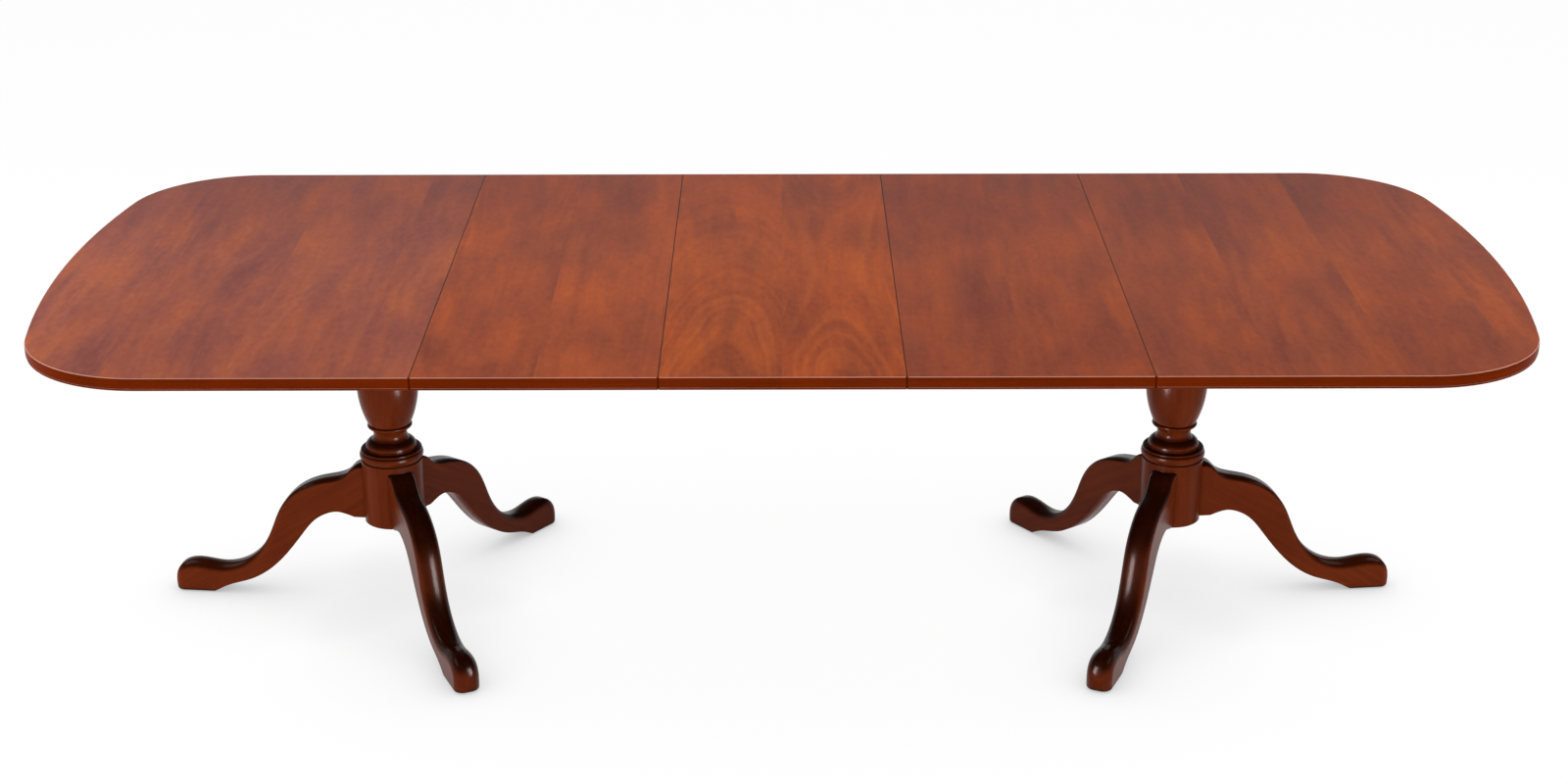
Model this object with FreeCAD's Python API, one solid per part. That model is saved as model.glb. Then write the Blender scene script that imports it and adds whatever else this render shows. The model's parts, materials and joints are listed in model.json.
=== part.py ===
import FreeCAD, Part
import math
import os

# Double pedestal dining table, drawn opened out with its three leaves in place.
# Millimetres, X along the table, Y from front to back, Z up from the floor, origin under its middle.

V = FreeCAD.Vector

# Top
table_height = 762.0
table_width = 1312.0
leaf_count = 3
leaf_width = 457.0
end_top_length = 802.0
top_thickness = 26.0
end_arc_radius = 2500.0
corner_radius = 262.0

# Moulded edge of the top, from the upper arris down
arris_radius = 3.0
quirk_height = 1.6
quirk_depth = 2.0
bead_height = 4.6
bead_inset = 1.2
bead_rounding = 1.6

# Joints between the boards
joint_gap = 0.3
joint_arris = 0.7
joint_notch = 1.6
pin_radius = 5.0
pin_in_board = 26.0
pin_out_of_board = 18.0
pin_taper = 5.0
pin_tip_radius = 3.0
pin_clearance = 0.3
pin_seat_clearance = 0.05
pin_end_room = 1.5
pin_places = (-520.0, -110.0, 110.0, 520.0)

# Pedestals
pedestal_spacing = 1669.0
pedestal_turn = 6.0

# Turned column, radii and the heights at which each member starts
drum_radius = 65.0
drum_bottom = 187.0
drum_height = 140.0
drum_bottom_chamfer = 1.5
collar_groove_radius = 62.5
collar_groove_height = 3.0
collar_radius = 63.5
collar_height = 19.0
collar_bulge = 4.3
step_radius = 65.0
step_height = 4.6
step_rounding = 4.0
upper_step_radius = 56.0
upper_step_height = 3.8
dome_radius = 54.0
dome_height = 16.5
dome_top_radius = 40.0
dome_bulge = 3.7
neck_radius = 35.5
neck_height = 24.5
neck_bead_fillet = 40.5
neck_bead_fillet_height = 2.0
neck_bead_radius = 43.5
neck_bead_height = 9.1
neck_bead_bulge = 4.0
vase_foot_radius = 45.0
vase_swell_radius = 58.9
vase_swell_rise = 40.0
vase_radius = 64.0
vase_belly_rise = 96.0
vase_neck_radius = 40.0
vase_shoulder_drop = 68.0
vase_shoulder_radius = 55.0
cap_bead_height = 13.0
cap_bead_bulge = 5.5
cap_radius = 56.0
cap_height = 13.0
tenon_radius = 24.0

# Legs, sawn from thick plank; heights above the floor, distances out from the column's axis
leg_thickness = 54.0
leg_shoulder_top = 313.0
leg_shoulder_bottom = 196.0
leg_shoulder_flat = 27.0
leg_edge_rounding_at_shoulder = 5.0
leg_edge_rounding_at_toe = 20.0
leg_under_rounding = 2.5
sole_rounding = 5.0
foot_toe = 496.0
foot_heel = 410.0
heel_rise = 9.0
heel_run = 17.0
leg_top_line = ((71.0, 312.2), (84.0, 306.0), (98.0, 292.0), (121.0, 281.0), (152.0, 274.0),
                (186.0, 263.0), (218.0, 243.0), (246.0, 211.0), (276.0, 146.0), (305.0, 101.0),
                (345.0, 72.0), (390.0, 62.5), (428.0, 67.5), (456.0, 69.0), (479.0, 61.5),
                (492.5, 45.5), (497.0, 25.0))
leg_under_line = ((368.0, 22.5), (326.0, 36.0), (284.0, 59.5), (242.0, 99.0), (199.0, 153.5),
                  (170.0, 186.0), (146.0, 200.0), (120.0, 205.5), (103.0, 202.0))
dovetail_root = 18.0
dovetail_tip = 26.0
dovetail_depth = 17.0
dovetail_clearance = 0.2
leg_housing_clearance = 0.5
dovetail_top_margin = 22.0
glide_radius = 13.0
glide_thickness = 2.5
glide_chamfer = 0.8
glide_nail_radius = 1.6
glide_nail_length = 14.0
glide_nail_clearance = 0.05

# Pedestal head: the bearer that carries the slides, wedged on the column's tenon
bearer_length = 560.0
bearer_width = 260.0
bearer_thickness = 34.0
bearer_bevel_rise = 16.0
bearer_bevel_run = 32.0
tenon_clearance = 0.15
wedge_thick_end = 6.0
wedge_thin_end = 3.0
wedge_depth = 26.0
wedge_edge_margin = 1.0

# Extension slides: a centre rail between an outer and an inner rail, front and back
slide_offset = 215.0
rail_height = 54.0
centre_rail_width = 26.0
end_rail_width = 30.0
centre_rail_length = 1120.0
rail_outer_reach = 410.0
slide_gap = 1.0
rail_nose = 6.0
tongue_root = 12.0
tongue_tip = 17.0
tongue_depth = 9.0
tongue_height = 37.0
tongue_clearance = 0.4
opening_travel = 60.0

# Equalizer gears and racks that keep the centre rails in the middle
gear_module = 4.0
gear_teeth = 9
pressure_angle = math.radians(25.0)
addendum_factor = 0.8
dedendum_factor = 1.0
gear_backlash = 0.5
gear_thickness = 8.0
gear_height = 13.0
gear_room = 1.0
gear_side_room = 0.4
axle_radius = 3.0
axle_length = 28.0
axle_running_clearance = 0.08
axle_seat_clearance = 0.03
rack_height = 10.0
rack_back = 4.0
rack_end_margin = 16.0

# Wood screws
screw_shank_radius = 2.4
screw_head_radius = 4.8
screw_head_height = 3.2
screw_point_radius = 1.0
screw_point_length = 2.4
screw_clearance = 0.1
counterbore_radius = 6.5
rail_screw_length = 48.0
rail_screw_sink = 22.0
rail_screw_places = (-350.0, -190.0, 0.0, 118.0)
bearer_screw_length = 58.0
bearer_screw_sink = 8.0
bearer_screw_places = (-70.0, 70.0)

# Swing locks under the boards
lock_offset = 380.0
lock_plate_length = 58.0
lock_plate_width = 34.0
lock_plate_thickness = 2.0
lock_plate_setback = 12.0
lock_pivot_setback = 30.0
lock_pivot_radius = 5.0
lock_pivot_clearance = 0.1
lock_head_radius = 8.5
lock_head_thickness = 1.6
lever_thickness = 3.0
lever_room = 0.4
lever_hub_radius = 11.0
lever_arm_width = 14.0
lever_hook_radius = 10.0
lever_tab_length = 26.0
keeper_reach = 22.0
keeper_stud_radius = 3.2
keeper_head_radius = 5.5
keeper_plate_length = 40.0
keeper_plate_width = 30.0
hook_clearance = 0.4

# Values that follow from the sizes above
joints = [leaf_width * (k - leaf_count / 2) for k in range(leaf_count + 1)]
half_length = joints[-1] + end_top_length
half_width = table_width / 2
top_underside = table_height - top_thickness
rail_bottom = top_underside - rail_height
bearer_bottom = rail_bottom - bearer_thickness
closing_travel = joints[-1]
pedestal_x = pedestal_spacing / 2
drum_flat = math.sqrt(drum_radius ** 2 - (leg_thickness / 2) ** 2)
pitch_radius = gear_module * gear_teeth / 2
tip_radius = pitch_radius + addendum_factor * gear_module
root_radius = pitch_radius - dedendum_factor * gear_module
base_radius = pitch_radius * math.cos(pressure_angle)
rack_pitch = math.pi * gear_module
rack_root = pitch_radius + dedendum_factor * gear_module
rack_depth = rack_root + rack_back
end_rail_face = centre_rail_width / 2 + slide_gap
end_rail_screw_line = (rack_depth + end_rail_face + end_rail_width) / 2
rack_reach = opening_travel + rack_end_margin
rack_outer_reach = closing_travel + rack_end_margin
rail_inner_reach = rack_reach + rail_nose
lever_top = top_underside - lock_plate_thickness - lever_room
lever_bottom = lever_top - lever_thickness
lock_head_top = lever_bottom - lever_room
hook_distance = lock_pivot_setback + keeper_reach
hook_slot = 2 * (keeper_stud_radius + hook_clearance)


# Small helpers

def prism(points, direction):
    """Solid of a flat closed outline pushed along a direction."""
    return Part.Face(Part.makePolygon(points + [points[0]])).extrude(direction)


def block(x0, x1, y0, y1, z0, z1):
    return Part.makeBox(x1 - x0, y1 - y0, z1 - z0, V(x0, y0, z0))


def rod(radius, x, y, z0, z1):
    return Part.makeCylinder(radius, z1 - z0, V(x, y, z0))


def turn(shape, degrees, centre):
    turned = shape.copy()
    turned.rotate(centre, V(0, 0, 1), degrees)
    return turned


def spline(points):
    """Smooth line through points."""
    curve = Part.BSplineCurve()
    curve.interpolate(points)
    return curve.toShape()


class Turning:
    """Half outline of a turned piece, drawn upwards in radius and height."""

    def __init__(self, radius, height):
        self.edges = []
        self.bottom = height
        self.radius = radius
        self.height = height
        self.line(0.0, height, radius, height)

    def line(self, radius_a, height_a, radius_b, height_b):
        edge = Part.LineSegment(V(radius_a, 0, height_a), V(radius_b, 0, height_b)).toShape()
        self.edges.append(edge)

    def move(self, radius, height):
        self.radius = radius
        self.height = height

    def to(self, radius, rise):
        """Straight line to a new radius and up by a rise."""
        self.line(self.radius, self.height, radius, self.height + rise)
        self.move(radius, self.height + rise)

    def bulge(self, radius, rise, depth):
        """Round member that stands out by a depth, or is hollow where the depth is negative."""
        start = V(self.radius, 0, self.height)
        end = V(radius, 0, self.height + rise)
        along = end - start
        outward = V(along.z, 0, -along.x).normalize()
        self.edges.append(Part.Arc(start, (start + end) * 0.5 + outward * depth, end).toShape())
        self.move(radius, self.height + rise)

    def curve(self, points):
        """Smooth line through points given as radius and height."""
        start = V(self.radius, 0, self.height)
        self.edges.append(spline([start] + [V(radius, 0, height) for radius, height in points]))
        self.move(*points[-1])

    def solid(self):
        self.line(self.radius, self.height, 0.0, self.height)
        self.line(0.0, self.height, 0.0, self.bottom)
        face = Part.Face(Part.Wire(self.edges))
        return face.revolve(V(0, 0, 0), V(0, 0, 1), 360)


# Top boards

def top_outline(inset):
    """Plan of the whole top: straight sides, large end arcs and rounded corners, drawn in by an inset."""
    length = half_length - inset
    width = half_width - inset
    big = end_arc_radius - inset
    small = corner_radius - inset
    arc_centre = length - big
    corner_y = width - small
    corner_x = arc_centre + math.sqrt((big - small) ** 2 - corner_y ** 2)
    meet = math.atan2(corner_y, corner_x - arc_centre)
    middle = (meet + math.pi / 2) / 2
    meet_x = arc_centre + big * math.cos(meet)
    meet_y = big * math.sin(meet)
    round_x = corner_x + small * math.cos(middle)
    round_y = corner_y + small * math.sin(middle)
    edges = []
    for sx, sy in ((1, -1), (1, 1), (-1, 1), (-1, -1)):
        side = V(sx * corner_x, sy * width, 0)
        end = V(sx * meet_x, sy * meet_y, 0)
        edges.append(Part.Arc(side, V(sx * round_x, sy * round_y, 0), end).toShape())
    for sx in (1, -1):
        low = V(sx * meet_x, -meet_y, 0)
        high = V(sx * meet_x, meet_y, 0)
        edges.append(Part.Arc(low, V(sx * length, 0, 0), high).toShape())
    for sy in (1, -1):
        edges.append(Part.LineSegment(V(-corner_x, sy * width, 0), V(corner_x, sy * width, 0)).toShape())
    return Part.Face(Part.Wire(Part.__sortEdges__(edges)))


def slab(inset, z0, z1):
    face = top_outline(inset)
    face.translate(V(0, 0, z0))
    return face.extrude(V(0, 0, z1 - z0))


def rim_edges(solid, height):
    return [edge for edge in solid.Edges
            if abs(edge.BoundBox.ZMin - height) < 1e-6 and abs(edge.BoundBox.ZMax - height) < 1e-6]


def moulded_top():
    """The top in one piece, before it is sawn into boards."""
    bead_top = top_underside + bead_height
    quirk_top = bead_top + quirk_height
    upper = slab(0.0, quirk_top, table_height)
    upper = upper.makeFillet(arris_radius, rim_edges(upper, table_height))
    bead = slab(bead_inset, top_underside, bead_top)
    bead = bead.makeFillet(bead_rounding, rim_edges(bead, bead_top) + rim_edges(bead, top_underside))
    return upper.fuse([slab(quirk_depth, bead_top, quirk_top), bead]).removeSplitter()


def joint_vee(x, z, size):
    """Long three-cornered cut that eases both boards at a joint."""
    corners = [V(x - size, -table_width, z), V(x, -table_width, z - size), V(x + size, -table_width, z),
               V(x, -table_width, z + size)]
    return prism(corners, V(0, 2 * table_width, 0))


def pin_row(x, radius, x_from, x_to):
    middle = top_underside + top_thickness / 2
    return [Part.makeCylinder(radius, x_to - x_from, V(x + x_from, y, middle), V(1, 0, 0))
            for y in pin_places]


def joint_pins(x):
    """Dowels that stand out of a board's right-hand edge."""
    middle = top_underside + top_thickness / 2
    straight = pin_in_board + pin_out_of_board - pin_taper
    pins = []
    for y in pin_places:
        base = V(x - pin_in_board, y, middle)
        shank = Part.makeCylinder(pin_radius, straight, base, V(1, 0, 0))
        tip = Part.makeCone(pin_radius, pin_tip_radius, pin_taper, base + V(straight, 0, 0), V(1, 0, 0))
        pins.append(shank.fuse(tip))
    return Part.makeCompound(pins)


def board(top, x0, x1, pins_on_right, holes_on_left):
    """One board sawn from the top, with its dowels' seats and sockets."""
    low = x0 + joint_gap / 2 if x0 > -half_length else -half_length
    high = x1 - joint_gap / 2 if x1 < half_length else half_length
    cuts = []
    for x in (x0, x1):
        if abs(x) < half_length:
            cuts.append(joint_vee(x, table_height, joint_arris))
            cuts.append(joint_vee(x, top_underside, joint_notch))
    if pins_on_right:
        cuts += pin_row(x1, pin_radius + pin_seat_clearance, -pin_in_board, 0.0)
    if holes_on_left:
        cuts += pin_row(x0, pin_radius + pin_clearance, 0.0, pin_out_of_board + pin_end_room)
    body = top.common(block(low, high, -half_width, half_width, top_underside, table_height))
    return body.cut(cuts)


# Pedestal

def leg_angles(side):
    """Directions of the three legs: outer, front and back. The two pedestals mirror each other."""
    angles = {"outer": 180.0 - pedestal_turn, "front": -60.0 - pedestal_turn, "back": 60.0 - pedestal_turn}
    if side > 0:
        angles = {name: 180.0 - angle for name, angle in angles.items()}
    return angles


def dovetail(root, tip, depth, z0, z1):
    """Dovetail standing inwards from a leg's shoulder, along the leg's own X axis."""
    points = [V(drum_flat, -root / 2, z0), V(drum_flat, root / 2, z0),
              V(drum_flat - depth, tip / 2, z0), V(drum_flat - depth, -tip / 2, z0)]
    return prism(points, V(0, 0, z1 - z0))


def dovetail_top():
    return leg_shoulder_top - dovetail_top_margin


def column_outline():
    top = bearer_bottom
    outline = Turning(drum_radius - drum_bottom_chamfer, drum_bottom)
    outline.to(drum_radius, drum_bottom_chamfer)
    outline.to(drum_radius, drum_height - drum_bottom_chamfer)
    outline.to(collar_groove_radius, 0.0)
    outline.to(collar_groove_radius, collar_groove_height)
    outline.to(collar_radius, 0.0)
    outline.bulge(collar_radius, collar_height, collar_bulge)
    outline.to(step_radius, 0.0)
    outline.to(step_radius, step_height - step_rounding)
    outline.bulge(step_radius - step_rounding, step_rounding, step_rounding * (1 - math.sqrt(0.5)))
    outline.to(upper_step_radius, 0.0)
    outline.to(upper_step_radius, upper_step_height)
    outline.to(dome_radius, 0.0)
    outline.bulge(dome_top_radius, dome_height, dome_bulge)
    neck_start = outline.height
    outline.curve([(neck_radius, neck_start + neck_height / 2),
                   (neck_bead_fillet, neck_start + neck_height)])
    outline.to(neck_bead_fillet, neck_bead_fillet_height)
    outline.to(neck_bead_radius, 0.0)
    outline.bulge(neck_bead_radius, neck_bead_height, neck_bead_bulge)
    outline.to(vase_foot_radius, 0.0)
    vase_start = outline.height
    vase_end = top - cap_height - cap_bead_height
    outline.curve([(vase_swell_radius, vase_start + vase_swell_rise),
                   (vase_radius, vase_start + vase_belly_rise),
                   (vase_shoulder_radius, vase_end - vase_shoulder_drop),
                   (vase_neck_radius, vase_end)])
    outline.bulge(vase_neck_radius, cap_bead_height, cap_bead_bulge)
    outline.to(cap_radius, 0.0)
    outline.to(cap_radius, cap_height)
    outline.to(tenon_radius, 0.0)
    outline.to(tenon_radius, bearer_thickness)
    return outline


def tenon_wedge():
    """Hardwood wedge driven into the tenon's saw cut from above."""
    top = rail_bottom
    reach = tenon_radius - wedge_edge_margin
    points = [V(-wedge_thick_end / 2, -reach, top), V(wedge_thick_end / 2, -reach, top),
              V(wedge_thin_end / 2, -reach, top - wedge_depth),
              V(-wedge_thin_end / 2, -reach, top - wedge_depth)]
    return prism(points, V(0, 2 * reach, 0))


def column(side):
    """Turned column with a flat and a dovetail socket for each leg, open at the drum's foot."""
    body = column_outline().solid()
    root = dovetail_root + 2 * dovetail_clearance
    tip = dovetail_tip + 2 * dovetail_clearance
    socket = dovetail(root, tip, dovetail_depth + dovetail_clearance, drum_bottom,
                      dovetail_top() + dovetail_clearance)
    flat = block(drum_flat, 2 * drum_radius, -leg_thickness / 2, leg_thickness / 2,
                 drum_bottom, leg_shoulder_top + leg_housing_clearance)
    cuts = [tenon_wedge()]
    for angle in leg_angles(side).values():
        cuts.append(turn(socket.fuse(flat), angle, V(0, 0, 0)))
    return body.cut(cuts)


def curved_edges(solid):
    return [edge for edge in solid.Edges if edge.Curve.TypeId == "Part::GeomBSplineCurve"]


def leg():
    """Sawn cabriole leg, lying along +X from the drum's flat to the toe, with its dovetail."""
    floor = glide_thickness
    toe = V(foot_toe, 0, floor)
    heel = V(foot_heel, 0, floor)
    instep = V(foot_heel - heel_run, 0, floor + heel_rise)
    shoulder_end = V(drum_flat + leg_shoulder_flat, 0, leg_shoulder_bottom)
    inner_low = V(drum_flat, 0, leg_shoulder_bottom)
    inner_high = V(drum_flat, 0, leg_shoulder_top)
    upper = spline([inner_high] + [V(x, 0, z) for x, z in leg_top_line] + [toe])
    under = spline([instep] + [V(x, 0, z) for x, z in leg_under_line] + [shoulder_end])
    straight = [Part.LineSegment(a, b).toShape() for a, b in (
        (toe, heel), (heel, instep), (shoulder_end, inner_low), (inner_low, inner_high))]
    outline = Part.Wire(Part.__sortEdges__([upper, under] + straight))
    face = Part.Face(outline)
    face.translate(V(0, -leg_thickness / 2, 0))
    body = face.extrude(V(0, leg_thickness, 0))
    middle = (leg_shoulder_top + leg_shoulder_bottom) / 2
    upper_edges = [edge for edge in curved_edges(body) if edge.BoundBox.ZMax > middle]
    body = body.makeFillet(leg_edge_rounding_at_shoulder, leg_edge_rounding_at_toe, upper_edges)
    sole_edges = [edge for edge in body.Edges if edge.BoundBox.ZMax < floor + sole_rounding
                  and edge.BoundBox.XMax > foot_heel + sole_rounding]
    body = body.makeFillet(sole_rounding, sole_edges)
    under_edges = [edge for edge in curved_edges(body) if edge.BoundBox.ZMax < middle
                   and edge.BoundBox.XMin < foot_heel - heel_run]
    body = body.makeFillet(leg_under_rounding, under_edges)
    tongue = dovetail(dovetail_root, dovetail_tip, dovetail_depth, leg_shoulder_bottom, dovetail_top())
    nail_hole = rod(glide_nail_radius + glide_nail_clearance, glide_place(), 0, floor,
                    floor + glide_nail_length + glide_nail_clearance)
    return body.fuse(tongue).cut(nail_hole)


def stand(shape, angle, foot):
    """A pedestal's piece turned about the column's axis and set where the pedestal stands."""
    placed = turn(shape, angle, V(0, 0, 0))
    placed.translate(foot)
    return placed


def glide_place():
    return (foot_toe + foot_heel) / 2


def glide():
    """Nail-on glide under a foot, its edge chamfered where it meets the floor."""
    outline = Turning(glide_radius - glide_chamfer, 0.0)
    outline.to(glide_radius, glide_chamfer)
    outline.to(glide_radius, glide_thickness - glide_chamfer)
    outline.to(glide_nail_radius, 0.0)
    outline.to(glide_nail_radius, glide_nail_length)
    button = outline.solid()
    button.translate(V(glide_place(), 0, 0))
    return button


def rail_line(side):
    """Distance of an end's rails from the table's middle: outer rails on the left, inner on the right."""
    return slide_offset - side * end_rail_screw_line


def screw(length):
    """Countersunk wood screw standing on its head, point up."""
    outline = Turning(screw_head_radius, 0.0)
    outline.to(screw_shank_radius, screw_head_height)
    outline.to(screw_shank_radius, length - screw_head_height - screw_point_length)
    outline.to(screw_point_radius, screw_point_length)
    return outline.solid()


def screw_room(length, sink):
    """Space for a screw with its counterbore below, from the surface that it enters."""
    outline = Turning(counterbore_radius, -sink)
    outline.to(counterbore_radius, sink)
    outline.to(screw_head_radius + screw_clearance, 0.0)
    outline.to(screw_shank_radius + screw_clearance, screw_head_height)
    outline.to(screw_shank_radius + screw_clearance, length - screw_head_height)
    return outline.solid()


def at_places(shape, places):
    copies = []
    for place in places:
        copy = shape.copy()
        copy.translate(place)
        copies.append(copy)
    return copies


def rail_screw_seats(side):
    """Where the screws through an end's rails bear, up inside the counterbores."""
    seat = rail_bottom + rail_screw_sink
    line = rail_line(side)
    return [V(side * (pedestal_x - x), y, seat) for y in (-line, line) for x in rail_screw_places]


def bearer_screw_seats(side):
    seat = bearer_bottom + bearer_screw_sink
    line = rail_line(side)
    return [V(side * pedestal_x + x, y, seat) for y in (-line, line) for x in bearer_screw_places]


def rail_screw_rooms(side):
    return at_places(screw_room(rail_screw_length, rail_screw_sink), rail_screw_seats(side))


def bearer_screw_rooms(side):
    return at_places(screw_room(bearer_screw_length, bearer_screw_sink), bearer_screw_seats(side))


def bearer(side):
    """Board across the column's head, bevelled below at both ends."""
    half = bearer_length / 2
    points = [V(-bearer_width / 2, -half, rail_bottom), V(-bearer_width / 2, half, rail_bottom),
              V(-bearer_width / 2, half, bearer_bottom + bearer_bevel_rise),
              V(-bearer_width / 2, half - bearer_bevel_run, bearer_bottom),
              V(-bearer_width / 2, -half + bearer_bevel_run, bearer_bottom),
              V(-bearer_width / 2, -half, bearer_bottom + bearer_bevel_rise)]
    body = prism(points, V(bearer_width, 0, 0))
    body = body.cut(rod(tenon_radius + tenon_clearance, 0, 0, bearer_bottom, rail_bottom))
    body.translate(V(side * pedestal_x, 0, 0))
    return body.cut(bearer_screw_rooms(side))


# Extension slides

def across(row, distance):
    """Y of a place in a slide, counted outwards from the centre rail. The row is -1 in front, 1 behind."""
    return row * (slide_offset + distance)


def bar(row, outline, x0, x1):
    """Straight bar along X, its section as distances from the centre rail and heights above its foot."""
    points = [V(x0, across(row, distance), rail_bottom + height) for distance, height in outline]
    return prism(points, V(x1 - x0, 0, 0))


def tongue_outline(way, grow):
    """Dovetail tongue on one side of the centre rail, or the groove that takes it."""
    face = centre_rail_width / 2
    root = tongue_root / 2 + grow
    tip = tongue_tip / 2 + grow
    deep = face + tongue_depth + grow
    return [(way * face, tongue_height - root), (way * deep, tongue_height - tip),
            (way * deep, tongue_height + tip), (way * face, tongue_height + root)]


def centre_rail(row):
    half = centre_rail_width / 2
    reach = centre_rail_length / 2
    body = bar(row, [(-half, 0), (half, 0), (half, rail_height), (-half, rail_height)], -reach, reach)
    body = body.fuse([bar(row, tongue_outline(way, 0.0), -reach, reach) for way in (-1, 1)])
    low = rail_bottom + gear_height - gear_thickness / 2 - gear_side_room
    high = rail_bottom + gear_height + gear_thickness / 2 + gear_side_room
    pocket = rod(tip_radius + gear_room, 0, across(row, 0), low, high)
    bore = rod(axle_radius + axle_seat_clearance, 0, across(row, 0), rail_bottom, rail_bottom + axle_length)
    return body.cut([pocket, bore])


def rack_section_bottom():
    return gear_height - rack_height / 2


def end_rail(row, side):
    """Rail fixed under one end of the table, grooved for the centre rail's tongue and for its own rack."""
    way = -side
    near = way * end_rail_face
    far = way * (end_rail_face + end_rail_width)
    x_outer = side * (pedestal_x + rail_outer_reach)
    x_inner = -side * rail_inner_reach
    low = rack_section_bottom()
    body = bar(row, [(near, 0), (far, 0), (far, rail_height), (near, rail_height)], x_outer, x_inner)
    groove = bar(row, tongue_outline(way, tongue_clearance), x_outer, x_inner)
    slot = bar(row, [(near, low), (way * rack_depth, low), (way * rack_depth, low + rack_height),
                     (near, low + rack_height)], -side * rack_reach, side * rack_outer_reach)
    return body.cut([groove, slot] + rail_screw_rooms(side) + bearer_screw_rooms(side))


def rack(row, side):
    """Toothed strip let into an end rail. Outer racks have a space at the gear, inner ones a tooth."""
    way = -side
    half_tooth = rack_pitch / 4 - gear_backlash / 4
    slope = math.tan(pressure_angle)
    tip = pitch_radius - addendum_factor * gear_module
    half_root = half_tooth + (rack_root - pitch_radius) * slope
    half_tip = half_tooth - (pitch_radius - tip) * slope
    start = -rack_reach
    stop = rack_outer_reach
    phase = 0.5 if way > 0 else 0.0
    first = math.ceil((start + half_root) / rack_pitch - phase)
    last = math.floor((stop - half_root) / rack_pitch - phase)
    z = rail_bottom + rack_section_bottom()
    outline = [(stop, rack_depth), (start, rack_depth), (start, rack_root)]
    for count in range(first, last + 1):
        x = (count + phase) * rack_pitch
        outline += [(x - half_root, rack_root), (x - half_tip, tip)]
        outline += [(x + half_tip, tip), (x + half_root, rack_root)]
    outline.append((stop, rack_root))
    points = [V(side * x, across(row, way * distance), z) for x, distance in outline]
    return prism(points, V(0, 0, rack_height))


def involute(angle):
    return math.tan(angle) - angle


def gear(row):
    """Pinion with involute teeth, one of them pointing straight at the outer rack."""
    half_pitch = math.pi / (2 * gear_teeth) - gear_backlash / (4 * pitch_radius)

    def half_angle(radius):
        return half_pitch + involute(pressure_angle) - involute(math.acos(min(1.0, base_radius / radius)))

    def point(radius, angle):
        return V(radius * math.cos(angle), radius * math.sin(angle), 0)

    middle = (base_radius + tip_radius) / 2
    edges = []
    for count in range(gear_teeth):
        axis = row * math.pi / 2 + 2 * math.pi * count / gear_teeth
        following = axis + 2 * math.pi / gear_teeth
        foot = half_angle(base_radius)
        for hand in (-1, 1):
            low = point(root_radius, axis + hand * foot)
            base = point(base_radius, axis + hand * foot)
            tip = point(tip_radius, axis + hand * half_angle(tip_radius))
            edges.append(Part.LineSegment(low, base).toShape())
            edges.append(Part.Arc(base, point(middle, axis + hand * half_angle(middle)), tip).toShape())
        edges.append(Part.Arc(point(tip_radius, axis - half_angle(tip_radius)), point(tip_radius, axis),
                              point(tip_radius, axis + half_angle(tip_radius))).toShape())
        edges.append(Part.Arc(point(root_radius, axis + foot), point(root_radius, (axis + following) / 2),
                              point(root_radius, following - foot)).toShape())
    face = Part.Face(Part.Wire(Part.__sortEdges__(edges)))
    body = face.extrude(V(0, 0, gear_thickness))
    body = body.cut(rod(axle_radius + axle_running_clearance, 0, 0, 0, gear_thickness))
    body.translate(V(0, across(row, 0), rail_bottom + gear_height - gear_thickness / 2))
    return body


def gear_axles():
    return Part.makeCompound([rod(axle_radius, 0, across(row, 0), rail_bottom, rail_bottom + axle_length)
                              for row in (-1, 1)])


# Swing locks

def lock_plates(joint):
    """Plates under a board's right-hand edge, each with the headed stud that its lever turns on."""
    plates = []
    for row in (-1, 1):
        y = row * lock_offset
        pivot = joint - lock_pivot_setback
        plate = block(joint - lock_plate_setback - lock_plate_length, joint - lock_plate_setback,
                      y - lock_plate_width / 2, y + lock_plate_width / 2,
                      top_underside - lock_plate_thickness, top_underside)
        stud = rod(lock_pivot_radius, pivot, y, lock_head_top, top_underside)
        head = rod(lock_head_radius, pivot, y, lock_head_top - lock_head_thickness, lock_head_top)
        plates.append(plate.fuse([stud, head]))
    return Part.makeCompound(plates)


def keepers(joint):
    """Plates under a board's left-hand edge, each with the headed stud that a hook catches."""
    plates = []
    for row in (-1, 1):
        y = row * lock_offset
        x = joint + keeper_reach
        plate = block(x - keeper_plate_length / 2, x + keeper_plate_length / 2,
                      y - keeper_plate_width / 2, y + keeper_plate_width / 2,
                      top_underside - lock_plate_thickness, top_underside)
        stud = rod(keeper_stud_radius, x, y, lock_head_top, top_underside)
        head = rod(keeper_head_radius, x, y, lock_head_top - lock_head_thickness, lock_head_top)
        plates.append(plate.fuse([stud, head]))
    return Part.makeCompound(plates)


def lever(joint, row):
    """Hooked lever, swung back beside the joint. Its slot is an arc about the pivot, open on one side."""
    x = joint - lock_pivot_setback
    y = row * lock_offset
    pivot = V(x, y, 0)
    half_arm = lever_arm_width / 2
    hub = rod(lever_hub_radius, x, y, lever_bottom, lever_top)
    arm = block(x - lever_tab_length, x + hook_distance, y - half_arm, y + half_arm,
                lever_bottom, lever_top)
    hook = rod(lever_hook_radius, x + hook_distance, y, lever_bottom, lever_top)
    tab_end = rod(half_arm, x - lever_tab_length, y, lever_bottom, lever_top)
    ring = rod(hook_distance + hook_slot / 2, x, y, lever_bottom, lever_top)
    ring = ring.cut(rod(hook_distance - hook_slot / 2, x, y, lever_bottom, lever_top))
    low, high = sorted((y, y + 2 * row * lever_hook_radius))
    open_side = ring.common(block(x, x + 2 * hook_distance, low, high, lever_bottom, lever_top))
    slot_end = rod(hook_slot / 2, x + hook_distance, y, lever_bottom, lever_top)
    bore = rod(lock_pivot_radius + lock_pivot_clearance, x, y, lever_bottom, lever_top)
    body = hub.fuse([arm, hook, tab_end]).removeSplitter()
    return turn(body.cut([open_side, slot_end, bore]), -90.0 * row, pivot)


# Assembly: every piece under the name of its node

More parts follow.
